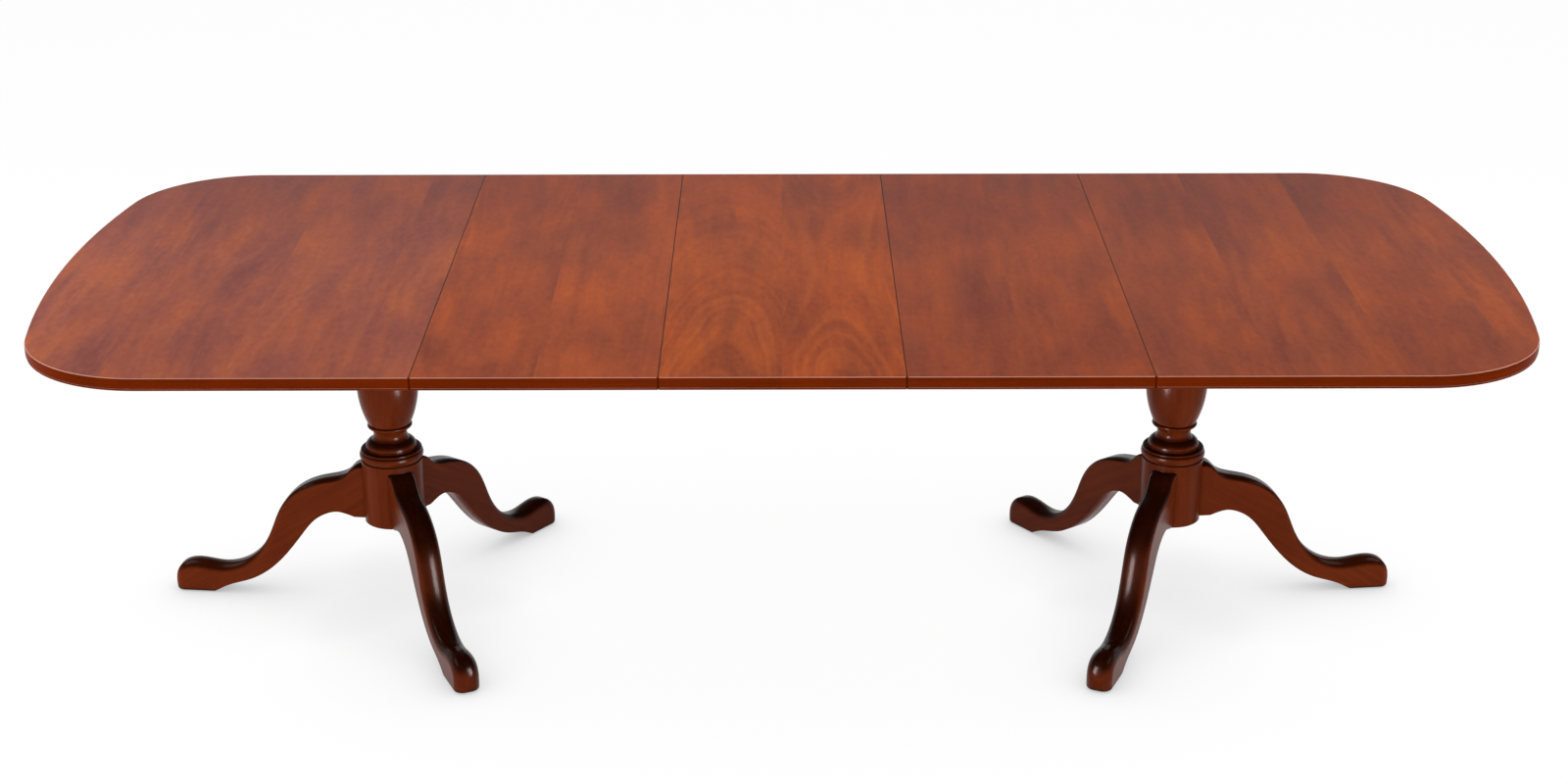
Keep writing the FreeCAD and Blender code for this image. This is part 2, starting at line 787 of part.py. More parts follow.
nodes = {}
top = moulded_top()
one_leg = leg()
rows = {"front": -1, "back": 1}
sides = {"left": -1, "right": 1}

for side_name, side in sides.items():
    foot_of_column = V(side * pedestal_x, 0, 0)
    x0, x1 = sorted((side * joints[-1], side * half_length))
    end_top = board(top, x0, x1, side < 0, side > 0)
    nodes[side_name + "_end_top"] = end_top.cut(rail_screw_rooms(side))
    nodes[side_name + "_column"] = stand(column(side), 0.0, foot_of_column)
    glides = []
    for leg_name, angle in leg_angles(side).items():
        nodes[side_name + "_" + leg_name + "_leg"] = stand(one_leg, angle, foot_of_column)
        glides.append(stand(glide(), angle, foot_of_column))
    nodes[side_name + "_foot_glides"] = Part.makeCompound(glides)
    nodes[side_name + "_bearer"] = bearer(side)
    nodes[side_name + "_tenon_wedge"] = stand(tenon_wedge(), 0.0, foot_of_column)
    for row_name, row in rows.items():
        nodes[side_name + "_" + row_name + "_rail"] = end_rail(row, side)
        nodes[side_name + "_" + row_name + "_rack"] = rack(row, side)
    nodes[side_name + "_rail_screws"] = Part.makeCompound(
        at_places(screw(rail_screw_length), rail_screw_seats(side)))
    nodes[side_name + "_bearer_screws"] = Part.makeCompound(
        at_places(screw(bearer_screw_length), bearer_screw_seats(side)))

for count, leaf_name in enumerate(("left_leaf", "middle_leaf", "right_leaf")):
    nodes[leaf_name] = board(top, joints[count], joints[count + 1], True, True)

for joint, board_name in zip(joints, ("left_end", "left_leaf", "middle_leaf", "right_leaf")):
    nodes[board_name + "_pins"] = joint_pins(joint)
    nodes[board_name + "_lock_plates"] = lock_plates(joint)
    for row_name, row in rows.items():
        nodes[board_name + "_" + row_name + "_lever"] = lever(joint, row)

for joint, board_name in zip(joints, ("left_leaf", "middle_leaf", "right_leaf", "right_end")):
    nodes[board_name + "_keepers"] = keepers(joint)

for row_name, row in rows.items():
    nodes[row_name + "_centre_rail"] = centre_rail(row)
    nodes[row_name + "_gear"] = gear(row)
nodes["gear_axles"] = gear_axles()

os.makedirs("parts", exist_ok=True)
for name, shape in nodes.items():
    shape.exportStep("parts/" + name + ".step")
    print(name, len(shape.Solids), shape.isValid(), round(shape.Volume))
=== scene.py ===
import json
import math

import bmesh
import bpy
from mathutils import Matrix, Vector


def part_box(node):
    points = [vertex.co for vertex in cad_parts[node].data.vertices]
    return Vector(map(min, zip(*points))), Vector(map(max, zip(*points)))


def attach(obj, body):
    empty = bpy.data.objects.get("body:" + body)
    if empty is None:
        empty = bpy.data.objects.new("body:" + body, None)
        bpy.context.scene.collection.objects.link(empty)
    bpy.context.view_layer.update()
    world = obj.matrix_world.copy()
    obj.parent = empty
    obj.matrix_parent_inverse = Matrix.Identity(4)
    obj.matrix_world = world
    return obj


# Finishes, studio and camera for a dining table on two pedestals. Metres, the table's own frame.
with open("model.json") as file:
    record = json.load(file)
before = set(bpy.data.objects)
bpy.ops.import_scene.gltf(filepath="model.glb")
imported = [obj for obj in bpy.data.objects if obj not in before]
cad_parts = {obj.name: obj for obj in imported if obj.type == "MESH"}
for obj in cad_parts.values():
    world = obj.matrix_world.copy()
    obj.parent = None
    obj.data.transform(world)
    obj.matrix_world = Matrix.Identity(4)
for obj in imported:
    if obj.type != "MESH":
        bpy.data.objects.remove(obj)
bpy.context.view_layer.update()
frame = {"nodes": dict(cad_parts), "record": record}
nodes = frame["nodes"]

# Camera, as it stood before the table
camera_place = Vector((-0.0038, -4.9534, 2.4162))
camera_yaw = math.radians(0.0883)
camera_pitch = math.radians(21.3947)
camera_roll = math.radians(0.0917)
camera_lens = 57.70
sensor_width = 36.0

# Boards of the top: stain, seed of the figure, and the edges where another board joins
boards = {"left_end_top": ((0.312, 0.065, 0.031), 11.0, "right"),
          "left_leaf": ((0.350, 0.058, 0.0105), 23.0, "both"),
          "middle_leaf": ((0.372, 0.060, 0.0050), 31.0, "both"),
          "right_leaf": ((0.302, 0.050, 0.0115), 47.0, "both"),
          "right_end_top": ((0.286, 0.050, 0.0135), 53.0, "left")}
arched_board = "middle_leaf"
stave_width = 0.2285

# Other colours of the top, and casts that turn a stain cooler or warmer
# The arris colour is a painted highlight: each board's rounded upper arris is lightened where the
# lacquer would catch the light
arris_highlight_colour = (0.72, 0.36, 0.28)
end_grain = (0.222, 0.0240, 0.0012)
underside_wood = (0.085, 0.030, 0.014)
cool_cast = (0.88, 0.98, 1.35)
warm_cast = (1.09, 1.05, 0.70)

# Growth rings: spacing, strength, and how far they stray from true circles
ring_spacing = 0.0105
ring_strength = 0.16
arched_ring_strength = 0.32
heart_wander = 0.06
depth_swell = 0.03
ring_waves = 0.016
ring_ripples = 0.0030

# Saw cuts: distance from the tree's heart at mid-length, and its change along the stave
plain_cut = (0.12, 0.20)
slanting_cut = (0.16, 0.17)
bowed_cut = (0.11, 0.20)

# Figure of wood and steel: bumps to a metre across the grain, along it and through it, then the
# number of finer layers and the strength of each beside the one before
fibre_grain = ((460.0, 6.0, 460.0), 4.0, 0.60)
pore_grain = ((1500.0, 62.0, 1500.0), 1.0, 0.50)
smoke_grain = ((8.5, 3.0, 1.0), 3.0, 0.55)
band_grain = ((34.0, 3.4, 1.0), 4.0, 0.62)
curl_grain = ((90.0, 40.0, 1.0), 4.0, 0.66)
edge_speckle_grain = ((300.0, 60.0, 420.0), 3.0, 0.60)
edge_bar_grain = ((2.5, 2.5, 330.0), 2.0, 0.50)
pedestal_streak_grain = ((60.0, 2.2, 60.0), 3.0, 0.50)
hidden_streak_grain = ((70.0, 2.0, 70.0), 3.0, 0.50)
brushing_grain = ((900.0, 60.0, 900.0), 3.0, 0.50)
grain_sway = 0.06
pore_cut = (0.60, 0.74)
knots_to_a_metre = 2.6
knot_size = (0.004, 0.012)

# How far each kind of figure moves the tone of the top's face, then painted shade towards the far
# side and painted light on the two ends
smoke_tone = 0.66
band_tone = 0.40
fibre_tone = 0.32
curl_tone = 0.60
stave_tone = 0.06
pore_tone = 0.08
knot_tone = 0.45
deepening = 1.6
# Painted shade: the face grows darker towards the far side of the table
far_side = (0.0, 0.55)
far_side_painted_shade = 0.79
# Painted light: the outer staves at the table's two ends are lighter
outer_stave = (1.25, 1.45)
outer_end_painted_light = 1.12
joint_line = 0.0012
joint_tone = 0.12
# Share of painted highlight on the boards' upper arris
arris_highlight_share = 0.85

# Edge and underside of a board: plain tone, how far each kind of figure moves it, and painted light
# on the edge's lower arris
edge_tone = 0.52
edge_speckle_tone = 0.40
edge_bar_tone = 0.60
edge_smoke_tone = 0.50
lower_arris_painted_light = 0.35
underside_tone = 0.95
underside_band_tone = 0.50
underside_fibre_tone = 0.60
underside_ring_tone = 0.30

# How far up a board's surface faces where its underside, edge, arrises and face begin or end
underside_to_edge = (-0.9, -0.6)
lower_arris = (-0.3, -0.6)
edge_to_face = (0.25, 0.55)
arris_begins = (0.35, 0.50)
arris_ends = (0.80, 0.92)

# Wood of the pedestals
pedestal_dark = (0.172, 0.0225, 0.0030)
pedestal_light = (0.280, 0.0440, 0.0060)
pedestal_streak_tone = 1.0
pedestal_fibre_tone = 0.7
pedestal_cloud_tone = 0.6
pedestal_pore_tone = 0.20
# Upward faces carry painted shade, darker where the top keeps light off them
upper_face = (0.10, 0.70)
upper_face_painted_shade = 0.20
# Painted shade in corners and grooves: darker where other surfaces are within reach, as where the
# legs meet the drum
corner_reach = 0.018
corner_air = (0.48, 0.84)
corner_painted_shade = 0.05
leg_grain_slope = math.radians(32.0)
leg_crown = 22.0
upright = Vector((0, 0, 1))

# Lacquer. A roughness that crosses 0.27 renders in blots, so each finish stays on one side of it
top_roughness = 0.32
top_shine = 0.12
edge_shine = 0.01
pedestal_roughness = 0.235
pedestal_shine = 0.06
fibre_gloss = 0.05
smoke_gloss = 0.06
cloud_gloss = 0.04

# Relief of each finish: strength, and depth in metres
face_relief = (0.02, 0.0004)
underside_relief = (0.12, 0.0006)
pedestal_relief = (0.05, 0.0004)
hidden_relief = (0.15, 0.0005)
steel_relief = (0.05, 0.0002)
nylon_relief = (0.08, 0.0002)

# Hidden parts: how far figure moves the wood's tone, then light and dark colours
hidden_streak_tone = 1.2
hidden_fibre_tone = 0.9
hidden_pore_tone = 0.25
slide_tones = ((0.33, 0.185, 0.085), (0.22, 0.112, 0.046))
bearer_tones = ((0.27, 0.140, 0.060), (0.18, 0.085, 0.034))
dowel_tones = ((0.60, 0.42, 0.24), (0.44, 0.28, 0.14))
zinc_tones = ((0.62, 0.62, 0.60), (0.46, 0.47, 0.48))
nylon_tones = ((0.80, 0.78, 0.71), (0.66, 0.63, 0.56))

# Screws that hold the lock plates and keepers: slotted countersunk heads, nearly flush
plate_thickness = 0.002
lock_plate_width = 0.034
keeper_width = 0.030
screw_inset = 0.006
screw_steps = ((0.0035, 0.0), (0.0034, 0.00012), (0.0027, 0.00028))
screw_slot_half = 0.0005
screw_arc_steps = 14
screw_turn = math.radians(37.0)

# Studio
floor_half = 30.0
floor_shown = 0.055
floor_glow = 0.97
floor_bounce = 0.90
# Painted contact shadow: the floor's glow darkens where the table stands near it
contact_reach = 0.30
painted_contact_shadow_strength = 0.60
horizon_top = 0.16
horizon_fade = 0.32
wall_grey = 0.07
wall_pale = 0.20

# Lamps: place, aim, width, height, power, whether they light, and whether they shine in reflections
lamps = {"overhead": ((0.0, 0.0, 4.0), (0.0, 0.0, 0.7), 6.0, 1.6, 36.0, True, True),
         "left_light": ((-3.6, 0.0, 3.4), (-0.5, 0.0, 0.6), 3.0, 2.6, 104.0, True, True),
         "right_light": ((3.6, 0.0, 3.4), (0.5, 0.0, 0.6), 3.0, 2.6, 96.0, True, True),
         "front_light": ((0.0, -5.6, 1.7), (0.0, 0.0, 0.4), 4.0, 1.5, 70.0, True, False),
         "left_leg_light": ((-0.10, -0.78, 0.34), (-0.65, -0.42, 0.30), 0.30, 0.48, 23.0,
                            False, True),
         "right_leg_light": ((0.10, -0.78, 0.34), (0.65, -0.42, 0.30), 0.30, 0.48, 23.0,
                             False, True)}


# Shader maths

class Value:
    """Something that changes over a surface. Arithmetic on it adds Math nodes to its finish."""

    def __init__(self, finish, socket):
        self.finish = finish
        self.socket = socket

    def __add__(self, other):
        return self.finish.maths("ADD", self, other)

    def __sub__(self, other):
        return self.finish.maths("SUBTRACT", self, other)

    def __rsub__(self, other):
        return self.finish.maths("SUBTRACT", other, self)

    def __mul__(self, other):
        return self.finish.maths("MULTIPLY", self, other)

    def __truediv__(self, other):
        return self.finish.maths("DIVIDE", self, other)

    def __pow__(self, other):
        return self.finish.maths("POWER", self, other)

    __radd__ = __add__
    __rmul__ = __mul__

    def swing(self, amount):
        """Turns 0 to 1 into a swing about 0, by half the amount each way."""
        return (self - 0.5) * amount


class Finish:
    """A material, or the world, with its nodes."""

    def __init__(self, name, owner=None):
        self.owner = owner or bpy.data.materials.new(name)
        self.owner.use_nodes = True
        self.tree = self.owner.node_tree
        self.tree.nodes.clear()

    def node(self, kind, settings, feeds, out=0):
        """Any node: its settings first, then the values or links of its sockets."""
        made = self.tree.nodes.new(kind)
        for name, value in settings.items():
            setattr(made, name, value)
        for name, value in feeds.items():
            if isinstance(value, Value):
                self.tree.links.new(value.socket, made.inputs[name])
            else:
                made.inputs[name].default_value = value
        return Value(self, made.outputs[out])

    def maths(self, operation, *values):
        return self.node("ShaderNodeMath", {"operation": operation}, dict(enumerate(values)))

    def vector_maths(self, operation, feeds, out=0):
        return self.node("ShaderNodeVectorMath", {"operation": operation}, feeds, out)

    def spread(self, vector, factors):
        """A place multiplied along each axis."""
        return self.vector_maths("MULTIPLY", {0: vector, 1: factors})

    def shifted(self, vector, offset):
        return self.vector_maths("ADD", {0: vector, 1: offset})

    def scaled(self, vector, amount):
        return self.vector_maths("SCALE", {0: vector, "Scale": amount})

    def unit(self, vector):
        return self.vector_maths("NORMALIZE", {0: vector})

    def along(self, vector, direction):
        """Distance of a place along a direction."""
        return self.vector_maths("DOT_PRODUCT", {0: vector, 1: direction}, "Value")

    def place(self, x, y, z):
        return self.node("ShaderNodeCombineXYZ", {}, {0: x, 1: y, 2: z})

    def parts(self, vector):
        split = self.node("ShaderNodeSeparateXYZ", {}, {0: vector})
        return [Value(self, socket) for socket in split.socket.node.outputs]

    def noise(self, vector, scale, detail=2.0, roughness=0.5):
        feeds = {"Vector": vector, "Scale": scale, "Detail": detail, "Roughness": roughness}
        return self.node("ShaderNodeTexNoise", {}, feeds)

    def grain(self, vector, figure, offset=(0.0, 0.0, 0.0)):
        """Noise that is finer along some axes than along others."""
        fineness, detail, roughness = figure
        stretched = self.shifted(self.spread(vector, fineness), offset)
        return self.noise(stretched, 1.0, detail, roughness)

    def chance(self, value):
        """An even random number for each whole value."""
        return self.node("ShaderNodeTexWhiteNoise", {"noise_dimensions": "1D"}, {"W": value})

    def ease(self, value, low, high, start=0.0, end=1.0):
        """Smooth step from start to end while a value runs from low to high."""
        settings = {"interpolation_type": "SMOOTHSTEP"}
        feeds = {"Value": value, "From Min": low, "From Max": high, "To Min": start, "To Max": end}
        return self.node("ShaderNodeMapRange", settings, feeds)

    def blend(self, share, first, second, way="MIX"):
        """Colour that goes from the first to the second."""
        first, second = [colour if isinstance(colour, Value) else (*colour, 1.0)
                         for colour in (first, second)]
        settings = {"data_type": "RGBA", "blend_type": way}
        return self.node("ShaderNodeMix", settings, {0: share, 6: first, 7: second}, 2)

    def colour(self, red, green, blue):
        return self.node("ShaderNodeCombineColor", {}, {0: red, 1: green, 2: blue})

    def tint(self, amount, red, green, blue):
        """Plain colour made lighter or darker by a factor."""
        return self.colour(amount * red, amount * green, amount * blue)

    def shade(self, colour, amount):
        """Colour made lighter or darker by a factor."""
        return self.blend(1.0, colour, self.colour(amount, amount, amount), "MULTIPLY")

    def bump(self, height, strength, distance, facing=None):
        feeds = {"Height": height, "Strength": strength, "Distance": distance}
        if facing is not None:
            feeds["Normal"] = facing
        return self.node("ShaderNodeBump", {}, feeds)

    def object_place(self):
        return self.node("ShaderNodeTexCoord", {}, {}, "Object")

    def facing(self):
        return self.node("ShaderNodeNewGeometry", {}, {}, "Normal")

    def open_air(self, reach, rays):
        """1 in the open, lower where other surfaces are within reach."""
        settings = {"samples": rays}
        return self.node("ShaderNodeAmbientOcclusion", settings, {"Distance": reach}, "AO")

    def looked_at(self):
        """1 for what the camera sees, also in a reflection or through a clear piece, else 0."""
        path = self.tree.nodes.new("ShaderNodeLightPath").outputs
        direct, mirrored, clear = [Value(self, path[name]) for name in
                                   ("Is Camera Ray", "Is Glossy Ray", "Is Transmission Ray")]
        return self.maths("MINIMUM", direct + mirrored + clear, 1.0)

    def surface(self, feeds):
        return self.node("ShaderNodeBsdfPrincipled", {}, feeds)

    def mix(self, share, first, second):
        """Shader that goes from the first to the second."""
        return self.node("ShaderNodeMixShader", {}, {0: share, 1: first, 2: second})

    def finished(self, shader, kind="ShaderNodeOutputMaterial"):
        output = self.tree.nodes.new(kind)
        self.tree.links.new(shader.socket, output.inputs[0])
        return self.owner


# Wood. Multiples of a stave's own random pick move each stave to its own piece of noise

def growth_rings(finish, across, along, up, pick, depth):
    """Years of unequal width in a flat-sawn stave, which show as nested arches.

    About 0.5 on average. The depth is how far the saw cut runs from the tree's heart."""
    wander = finish.noise(finish.place(pick * 40.0, along, pick * 9.0), 1.4, 1.0)
    swell = finish.noise(finish.place(pick * 23.0, along, pick * 5.0), 2.4, 1.0)
    heart = across + wander.swing(heart_wander)
    depth = depth + swell.swing(depth_swell)
    waves = finish.noise(finish.place(across + pick * 7.0, along * 0.5, up), 9.0, 2.0)
    ripples = finish.noise(finish.place(across + pick * 3.0, along * 0.4, up), 70.0, 2.0)
    distance = finish.maths("SQRT", heart * heart + depth * depth)
    distance = distance + waves.swing(ring_waves) + ripples.swing(ring_ripples)
    years = finish.place(distance / ring_spacing + pick * 71.0, along * 0.7, pick * 13.0)
    return finish.ease(finish.noise(years, 1.0, 3.0, 0.55), 0.30, 0.70)


def knots(finish, x, y, seed):
    """A few pin knots, as a mask."""
    feeds = {"Vector": finish.place(x + seed, y, 0.0), "Scale": knots_to_a_metre}
    distance = finish.node("ShaderNodeTexVoronoi", {}, feeds, "Distance")
    return finish.ease(distance, *knot_size, 1.0, 0.0)


def fibres(finish, wood):
    """Fine streaks that run with the grain."""
    return finish.grain(wood, fibre_grain)


def pores(finish, wood):
    """Short dark dashes of open pores, as a mask."""
    return finish.ease(finish.grain(wood, pore_grain), *pore_cut)


class TopBoard(Finish):
    """A board of the top: satin face with a painted highlight along its upper arris, edges of
    darker end grain, dull underside.
    """

    def __init__(self, board, left_edge, right_edge, stain, seed, joints):
        super().__init__(board + "_wood")
        self.stain = stain
        self.seed = seed
        self.spot = self.object_place()
        self.x, self.y, self.z = self.parts(self.spot)
        self.facing_up = self.parts(self.facing())[2]
        stave = self.maths("FLOOR", (self.x - left_edge) / stave_width)
        self.pick = self.chance(stave + seed)
        across = self.x - left_edge - (stave + 0.5) * stave_width
        depth, self.ring_tone = self.saw_cut(stave, board == arched_board)
        self.rings = growth_rings(self, across, self.y, self.z, self.pick, depth)
        sway = self.noise(self.place(self.pick * 31.0, self.y, seed), 1.5, 0.0).swing(grain_sway)
        wood = self.place(self.x + sway + self.pick * 5.0, self.y, self.z)
        self.lines = fibres(self, wood)
        self.dashes = pores(self, wood)
        self.smoke = self.grain(wood, smoke_grain, (0.0, seed, 0.0))
        self.bands = self.grain(wood, band_grain, (0.0, -seed, 0.0))
        self.curl = self.grain(wood, curl_grain)
        self.to_joint = self.joint_distance(left_edge, right_edge, joints)
        self.joint = self.ease(self.to_joint, joint_line * 0.5, joint_line, joint_tone, 1.0)

    def joint_distance(self, left_edge, right_edge, joints):
        """How far a place is from the nearest joint with another board."""
        if joints == "left":
            return self.x - left_edge
        if joints == "right":
            return right_edge - self.x
        return self.maths("MINIMUM", self.x - left_edge, right_edge - self.x)

    def saw_cut(self, stave, arched):
        """Depth of a stave's saw cut, and how strongly its rings show.

        The arched board has two staves, one cut at a slant and one with a bow."""
        if arched:
            slanting = slanting_cut[0] + self.y * slanting_cut[1]
            bowed = bowed_cut[0] - self.y * self.y * bowed_cut[1]
            depth = slanting * (1.0 - stave) + bowed * stave
            return depth, self.ease(self.y, -0.30, 0.25, arched_ring_strength, ring_strength)
        patches = self.noise(self.place(self.x * 1.6 + self.seed, self.y, self.z), 3.0, 1.0)
        depth = plain_cut[0] + self.y * self.pick.swing(plain_cut[1])
        return depth, self.ease(patches, 0.30, 0.65, 0.15, 1.0) * ring_strength

    def face_tone(self):
        """Lightness of the face, about 1, with painted shade towards the far side and painted light
        on the table's two ends.
        """
        tone = 1.0 + self.smoke.swing(smoke_tone) + self.bands.swing(band_tone)
        tone = tone + self.lines.swing(fibre_tone) + self.curl.swing(curl_tone)
        tone = tone + self.pick.swing(stave_tone)
        tone = tone + (0.5 - self.rings) * self.ring_tone - self.dashes * pore_tone
        tone = tone * (1.0 - knots(self, self.x, self.y, self.seed) * knot_tone)
        # Painted shade towards the far side
        tone = tone * self.ease(self.y, *far_side, 1.0, far_side_painted_shade)
        # Painted light on the outer staves at the two ends
        return tone * self.ease(self.maths("ABSOLUTE", self.x), *outer_stave, 1.0, outer_end_painted_light)

    def face(self):
        tone = self.face_tone()
        deep = tone ** deepening
        stained = [level * share for level, share in zip((tone, deep, deep), self.stain)]
        cool, warm = [self.colour(*[level * share for level, share in zip(stained, cast)])
                      for cast in (cool_cast, warm_cast)]
        warmth = self.ease(self.smoke * 0.6 + self.bands * 0.4, 0.35, 0.65)
        # Painted highlight: the rounded upper arris is lightened towards a pale colour, except at
        # the joints
        arris = self.ease(self.facing_up, *arris_begins)
        arris = arris * self.ease(self.facing_up, *arris_ends, 1.0, 0.0)
        arris = arris * self.ease(self.to_joint, joint_line * 1.5, joint_line * 3.0)
        colour = self.blend(arris * arris_highlight_share, self.blend(warmth, cool, warm), arris_highlight_colour)
        gloss = top_roughness + self.lines.swing(fibre_gloss) + self.smoke.swing(smoke_gloss)
        return self.surface({"Base Color": self.shade(colour, self.joint),
                             "Roughness": gloss, "Specular IOR Level": top_shine,
                             "Normal": self.bump(self.lines * 0.2 - self.dashes, *face_relief)})

    def edge(self):
        speckle = self.grain(self.spot, edge_speckle_grain)
        bars = self.grain(self.spot, edge_bar_grain, (self.seed, 0.0, 0.0))
        tone = edge_tone + speckle * edge_speckle_tone + bars * edge_bar_tone
        tone = tone + self.smoke.swing(edge_smoke_tone)
        # Painted light: the edge's lower arris is lighter, as if catching light bounced from the
        # floor
        tone = tone + self.ease(self.facing_up, *lower_arris) * lower_arris_painted_light
        return self.surface({"Base Color": self.tint(tone * self.joint, *end_grain),
                             "Roughness": 0.30 + speckle * 0.1, "Specular IOR Level": edge_shine})

    def underside(self):
        tone = underside_tone + self.bands.swing(underside_band_tone)
        tone = tone + self.lines.swing(underside_fibre_tone) - self.rings.swing(underside_ring_tone)
        return self.surface({"Base Color": self.tint(tone, *underside_wood), "Roughness": 0.62,
                             "Specular IOR Level": 0.20,
                             "Normal": self.bump(self.lines, *underside_relief)})

    def whole(self):
        above_underside = self.ease(self.facing_up, *underside_to_edge)
        on_face = self.ease(self.facing_up, *edge_to_face)
        lower = self.mix(above_underside, self.underside(), self.edge())
        return self.finished(self.mix(on_face, lower, self.face()))


def pedestal_finish(name, grain, side, seed, crown_middle=None):
    """Dark stain under gloss lacquer, its grain along a direction, with painted shade on upward
    faces and in corners and grooves.

    A leg's narrow faces are given a middle, and look rubbed slightly round."""
    finish = Finish(name)
    place = finish.object_place()
    up = finish.along(place, side)
    wood = finish.place(finish.along(place, grain.cross(side)), finish.along(place, grain), up)
    own_wood = finish.shifted(wood, (seed, 0.0, 0.0))
    lines = fibres(finish, own_wood)
    streak = finish.grain(wood, pedestal_streak_grain, (seed, 0.0, 0.0))
    cloud = finish.noise(finish.shifted(place, (seed, seed * 0.3, 0.0)), 9.0, 2.0)
    tone = 0.5 + streak.swing(pedestal_streak_tone) + lines.swing(pedestal_fibre_tone)
    tone = tone + cloud.swing(pedestal_cloud_tone)
    colour = finish.blend(finish.ease(tone, 0.0, 1.0), pedestal_dark, pedestal_light)
    facing = finish.facing()
    # Painted shade on upward faces
    painted_top_shade = finish.ease(finish.parts(facing)[2], *upper_face, 1.0, upper_face_painted_shade)
    # Painted shade in corners and grooves, where other surfaces are near
    corners = finish.ease(finish.open_air(corner_reach, 8), *corner_air, corner_painted_shade, 1.0)
    colour = finish.shade(colour, (painted_top_shade - pores(finish, own_wood) * pedestal_pore_tone) * corners)
    if crown_middle is not None:
        lean = finish.along(facing, side)
        tilt = (up - crown_middle) * leg_crown * (1.0 - lean * lean)
        facing = finish.unit(finish.shifted(facing, finish.scaled(side, tilt)))
    gloss = pedestal_roughness + lines.swing(fibre_gloss) + cloud.swing(cloud_gloss)
    shader = finish.surface({"Base Color": colour, "Roughness": gloss,
                             "Specular IOR Level": pedestal_shine,
                             "Normal": finish.bump(lines, *pedestal_relief, facing)})
    return finish.finished(shader)


def hidden_wood_finish(name, grain, tones, seed):
    """Bare oiled hardwood of the hidden parts, its grain along x or y."""
    finish = Finish(name)
    x, y, z = finish.parts(finish.object_place())
    wood = finish.place(y, x, z) if grain == "x" else finish.place(x, y, z)
    light, dark = tones
    lines = fibres(finish, finish.shifted(wood, (seed, 0.0, 0.0)))
    streak = finish.grain(wood, hidden_streak_grain, (seed, 0.0, 0.0))
    tone = 0.5 + streak.swing(hidden_streak_tone) + lines.swing(hidden_fibre_tone)
    colour = finish.blend(finish.ease(tone, 0.0, 1.0), dark, light)
    colour = finish.shade(colour, 1.0 - pores(finish, wood) * hidden_pore_tone)
    shader = finish.surface({"Base Color": colour, "Roughness": 0.55 + lines.swing(0.2),
                             "Specular IOR Level": 0.15,
                             "Normal": finish.bump(lines, *hidden_relief)})
    return finish.finished(shader)


def steel_finish():
    """Zinc-plated steel with faint brushing and worn spots."""
    finish = Finish("zinc_plated_steel")
    place = finish.object_place()
    brushed = finish.grain(place, brushing_grain)
    patches = finish.noise(place, 130.0, 3.0)
    light, dark = zinc_tones
    colour = finish.blend(finish.ease(patches, 0.35, 0.75), dark, light)
    shader = finish.surface({"Base Color": colour, "Metallic": 1.0,
                             "Roughness": 0.30 + brushed * 0.16 + patches.swing(0.1),
                             "Normal": finish.bump(brushed, *steel_relief)})
    return finish.finished(shader)


def nylon_finish():
    """Moulded nylon, slightly mottled."""
    finish = Finish("moulded_nylon")
    place = finish.object_place()
    mottle = finish.noise(place, 90.0, 3.0)
    skin = finish.noise(place, 2600.0, 1.0)
    light, dark = nylon_tones
    shader = finish.surface({"Base Color": finish.blend(mottle, dark, light),
                             "Roughness": 0.42 + mottle.swing(0.2),
                             "Normal": finish.bump(skin, *nylon_relief)})
    return finish.finished(shader)


def paint(node, material):
    """Gives a piece one finish."""
    mesh = nodes[node].data
    mesh.materials.clear()
    mesh.materials.append(material)


# Studio

def floor_finish():
    """Pale floor that shows nearly white, keeps a faint real shadow, and carries a painted contact
    shadow near the table.
    """
    finish = Finish("studio_floor")
    seen = finish.looked_at()
    # Painted contact shadow in the floor's glow
    painted_contact_shadow = 1.0 - (1.0 - finish.open_air(contact_reach, 16)) * painted_contact_shadow_strength
    base = floor_bounce + seen * (floor_shown - floor_bounce)
    shader = finish.surface({"Base Color": finish.tint(base, 1.0, 1.0, 1.0), "Roughness": 0.9,
                             "Specular IOR Level": 0.0, "Emission Strength": floor_glow,
                             "Emission Color": finish.tint(seen * painted_contact_shadow, 1.0, 1.0, 1.0)})
    return finish.finished(shader)


def studio_floor():
    corners = [(-floor_half, -floor_half, 0.0), (floor_half, -floor_half, 0.0),
               (floor_half, floor_half, 0.0), (-floor_half, floor_half, 0.0)]
    mesh = bpy.data.meshes.new("studio_floor")
    mesh.from_pydata(corners, [], [(0, 1, 2, 3)])
    mesh.materials.append(floor_finish())
    floor = bpy.data.objects.new("studio_floor", mesh)
    bpy.context.scene.collection.objects.link(floor)


def studio_walls():
    """White backdrop along the horizon, with grey walls above that are paler on the left."""
    world = bpy.data.worlds.new("studio_walls")
    bpy.context.scene.world = world
    finish = Finish("studio_walls", world)
    x, _, height = finish.parts(finish.node("ShaderNodeTexCoord", {}, {}, "Generated"))
    walls = finish.ease(x, -0.45, 0.30, wall_pale, wall_grey)
    backdrop = finish.looked_at() * finish.ease(height, horizon_top, horizon_fade, 1.0, 0.0)
    level = walls + (1.0 - walls) * backdrop
    feeds = {"Color": finish.tint(level, 1.0, 1.0, 1.0), "Strength": 1.0}
    finish.finished(finish.node("ShaderNodeBackground", {}, feeds), "ShaderNodeOutputWorld")


def softbox(name, place, target, width, height, power, lights, shines):
    """Lamp with a soft front, out of the camera's sight."""
    lamp = bpy.data.lights.new(name, "AREA")
    lamp.shape = "RECTANGLE"
    lamp.size = width
    lamp.size_y = height
    lamp.energy = power
    holder = bpy.data.objects.new(name, lamp)
    holder.location = place
    holder.rotation_mode = "QUATERNION"
    holder.rotation_quaternion = (Vector(target) - Vector(place)).to_track_quat("-Z", "Y")
    holder.visible_camera = False
    holder.visible_diffuse = lights
    holder.visible_glossy = shines
    bpy.context.scene.collection.objects.link(holder)


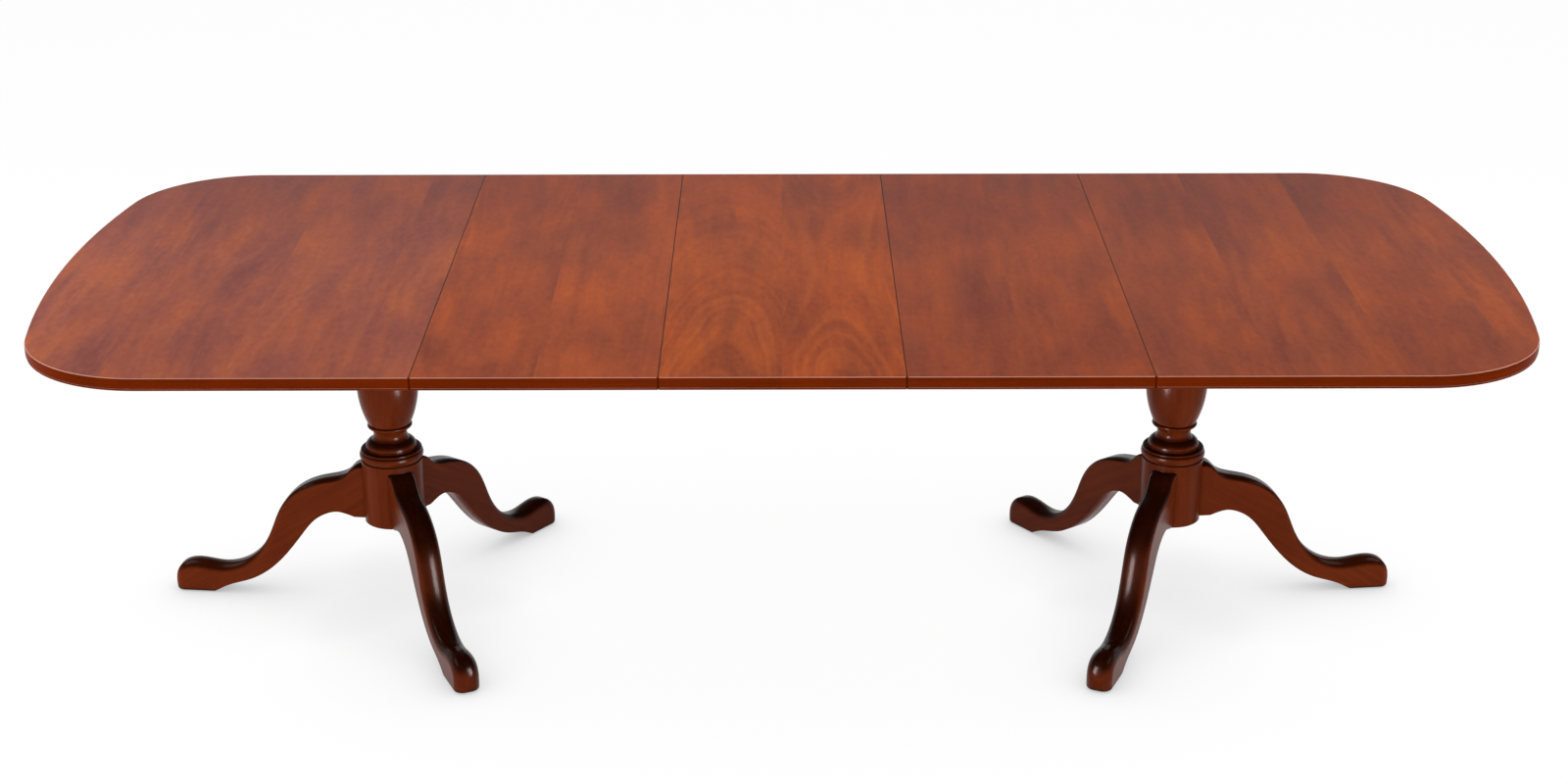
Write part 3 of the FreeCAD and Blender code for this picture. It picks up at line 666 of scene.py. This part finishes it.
def camera():
    forward = Vector((math.sin(camera_yaw) * math.cos(camera_pitch),
                      math.cos(camera_yaw) * math.cos(camera_pitch), -math.sin(camera_pitch)))
    level = Vector((math.cos(camera_yaw), -math.sin(camera_yaw), 0.0))
    right = level * math.cos(camera_roll) + forward.cross(level) * math.sin(camera_roll)
    up = right.cross(forward)
    lens = bpy.data.cameras.new("camera")
    lens.lens = camera_lens
    lens.sensor_fit = "HORIZONTAL"
    lens.sensor_width = sensor_width
    holder = bpy.data.objects.new("camera", lens)
    bpy.context.scene.collection.objects.link(holder)
    turn = Matrix((right, up, -forward)).transposed().to_4x4()
    holder.matrix_world = Matrix.Translation(camera_place) @ turn
    bpy.context.scene.camera = holder


# Fastenings

def plate_corners(node, plate_width):
    """Screw places on a board's two plates, one near the front and one near the back."""
    low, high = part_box(node)
    places = []
    for front in (low.y, high.y - plate_width):
        for y in (front + screw_inset, front + plate_width - screw_inset):
            for x in (low.x + screw_inset, high.x - screw_inset):
                places.append((x, y))
    return places, high.z - plate_thickness


def half_head(shape, x, y, plate_face, turn):
    """Half of a screw head, on one side of its slot."""
    rings = []
    for radius, depth in screw_steps:
        lip = math.asin(screw_slot_half / radius)
        sweep = (math.pi - 2.0 * lip) / screw_arc_steps
        angles = [turn + lip + sweep * step for step in range(screw_arc_steps + 1)]
        rings.append([shape.verts.new((x + radius * math.cos(angle),
                                       y + radius * math.sin(angle),
                                       plate_face - depth)) for angle in angles])
    for outer, inner in zip(rings, rings[1:]):
        for step in range(len(outer)):
            shape.faces.new((outer[step - 1], outer[step], inner[step], inner[step - 1]))
    shape.faces.new(rings[0])
    shape.faces.new(rings[-1])


def screw_heads(body, places, plate_face, material):
    """Heads seen from below, each in two halves, joined into one piece for a body."""
    name = body + "_plate_screws"
    shape = bmesh.new()
    for count, (x, y) in enumerate(places):
        for half in (0.0, math.pi):
            half_head(shape, x, y, plate_face, half + count * screw_turn)
    bmesh.ops.recalc_face_normals(shape, faces=shape.faces)
    mesh = bpy.data.meshes.new(name)
    shape.to_mesh(mesh)
    shape.free()
    mesh.materials.append(material)
    piece = bpy.data.objects.new(name, mesh)
    bpy.context.scene.collection.objects.link(piece)
    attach(piece, body)


# Every piece gets its finish

for board, (stain, seed, joints) in boards.items():
    low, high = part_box(board)
    paint(board, TopBoard(board, low.x, high.x, stain, seed, joints).whole())

for side_name in ("left", "right"):
    column = side_name + "_column"
    low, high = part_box(column)
    axis = (low + high) / 2
    paint(column, pedestal_finish(column + "_wood", upright, Vector((1, 0, 0)), 3.0))
    for count, leg_name in enumerate(("outer", "front", "back")):
        node = side_name + "_" + leg_name + "_leg"
        low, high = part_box(node)
        outward = (low + high) / 2 - axis
        outward.z = 0.0
        outward.normalize()
        grain = outward * math.cos(leg_grain_slope) - upright * math.sin(leg_grain_slope)
        beside = outward.cross(upright)
        seed = 5.0 + 2.0 * count
        paint(node, pedestal_finish(node + "_wood", grain, beside, seed, axis.dot(beside)))

bearer_wood = hidden_wood_finish("bearer_wood", "y", bearer_tones, 4.0)
steel = steel_finish()
by_slot = {"slide_wood": hidden_wood_finish("slide_wood", "x", slide_tones, 2.0),
           "dowel_wood": hidden_wood_finish("dowel_wood", "x", dowel_tones, 6.0),
           "steel": steel,
           "nylon": nylon_finish()}
for part in frame["record"]["subparts"]:
    if part["material_slot"] in by_slot:
        paint(part["node"], by_slot[part["material_slot"]])
for side_name in ("left", "right"):
    paint(side_name + "_bearer", bearer_wood)

boards_on_bodies = {"left_end": "left_end", "left_leaf": "left_leaf", "middle_leaf": "centre",
                    "right_leaf": "right_leaf", "right_end": "right_end"}
for board, body in boards_on_bodies.items():
    places = []
    for node, plate_width in ((board + "_lock_plates", lock_plate_width),
                              (board + "_keepers", keeper_width)):
        if node in nodes:
            corners, plate_face = plate_corners(node, plate_width)
            places += corners
    screw_heads(body, places, plate_face, steel)

studio_floor()
studio_walls()
for name, values in lamps.items():
    softbox(name, *values)
camera()

bpy.context.scene.view_settings.view_transform = "Standard"
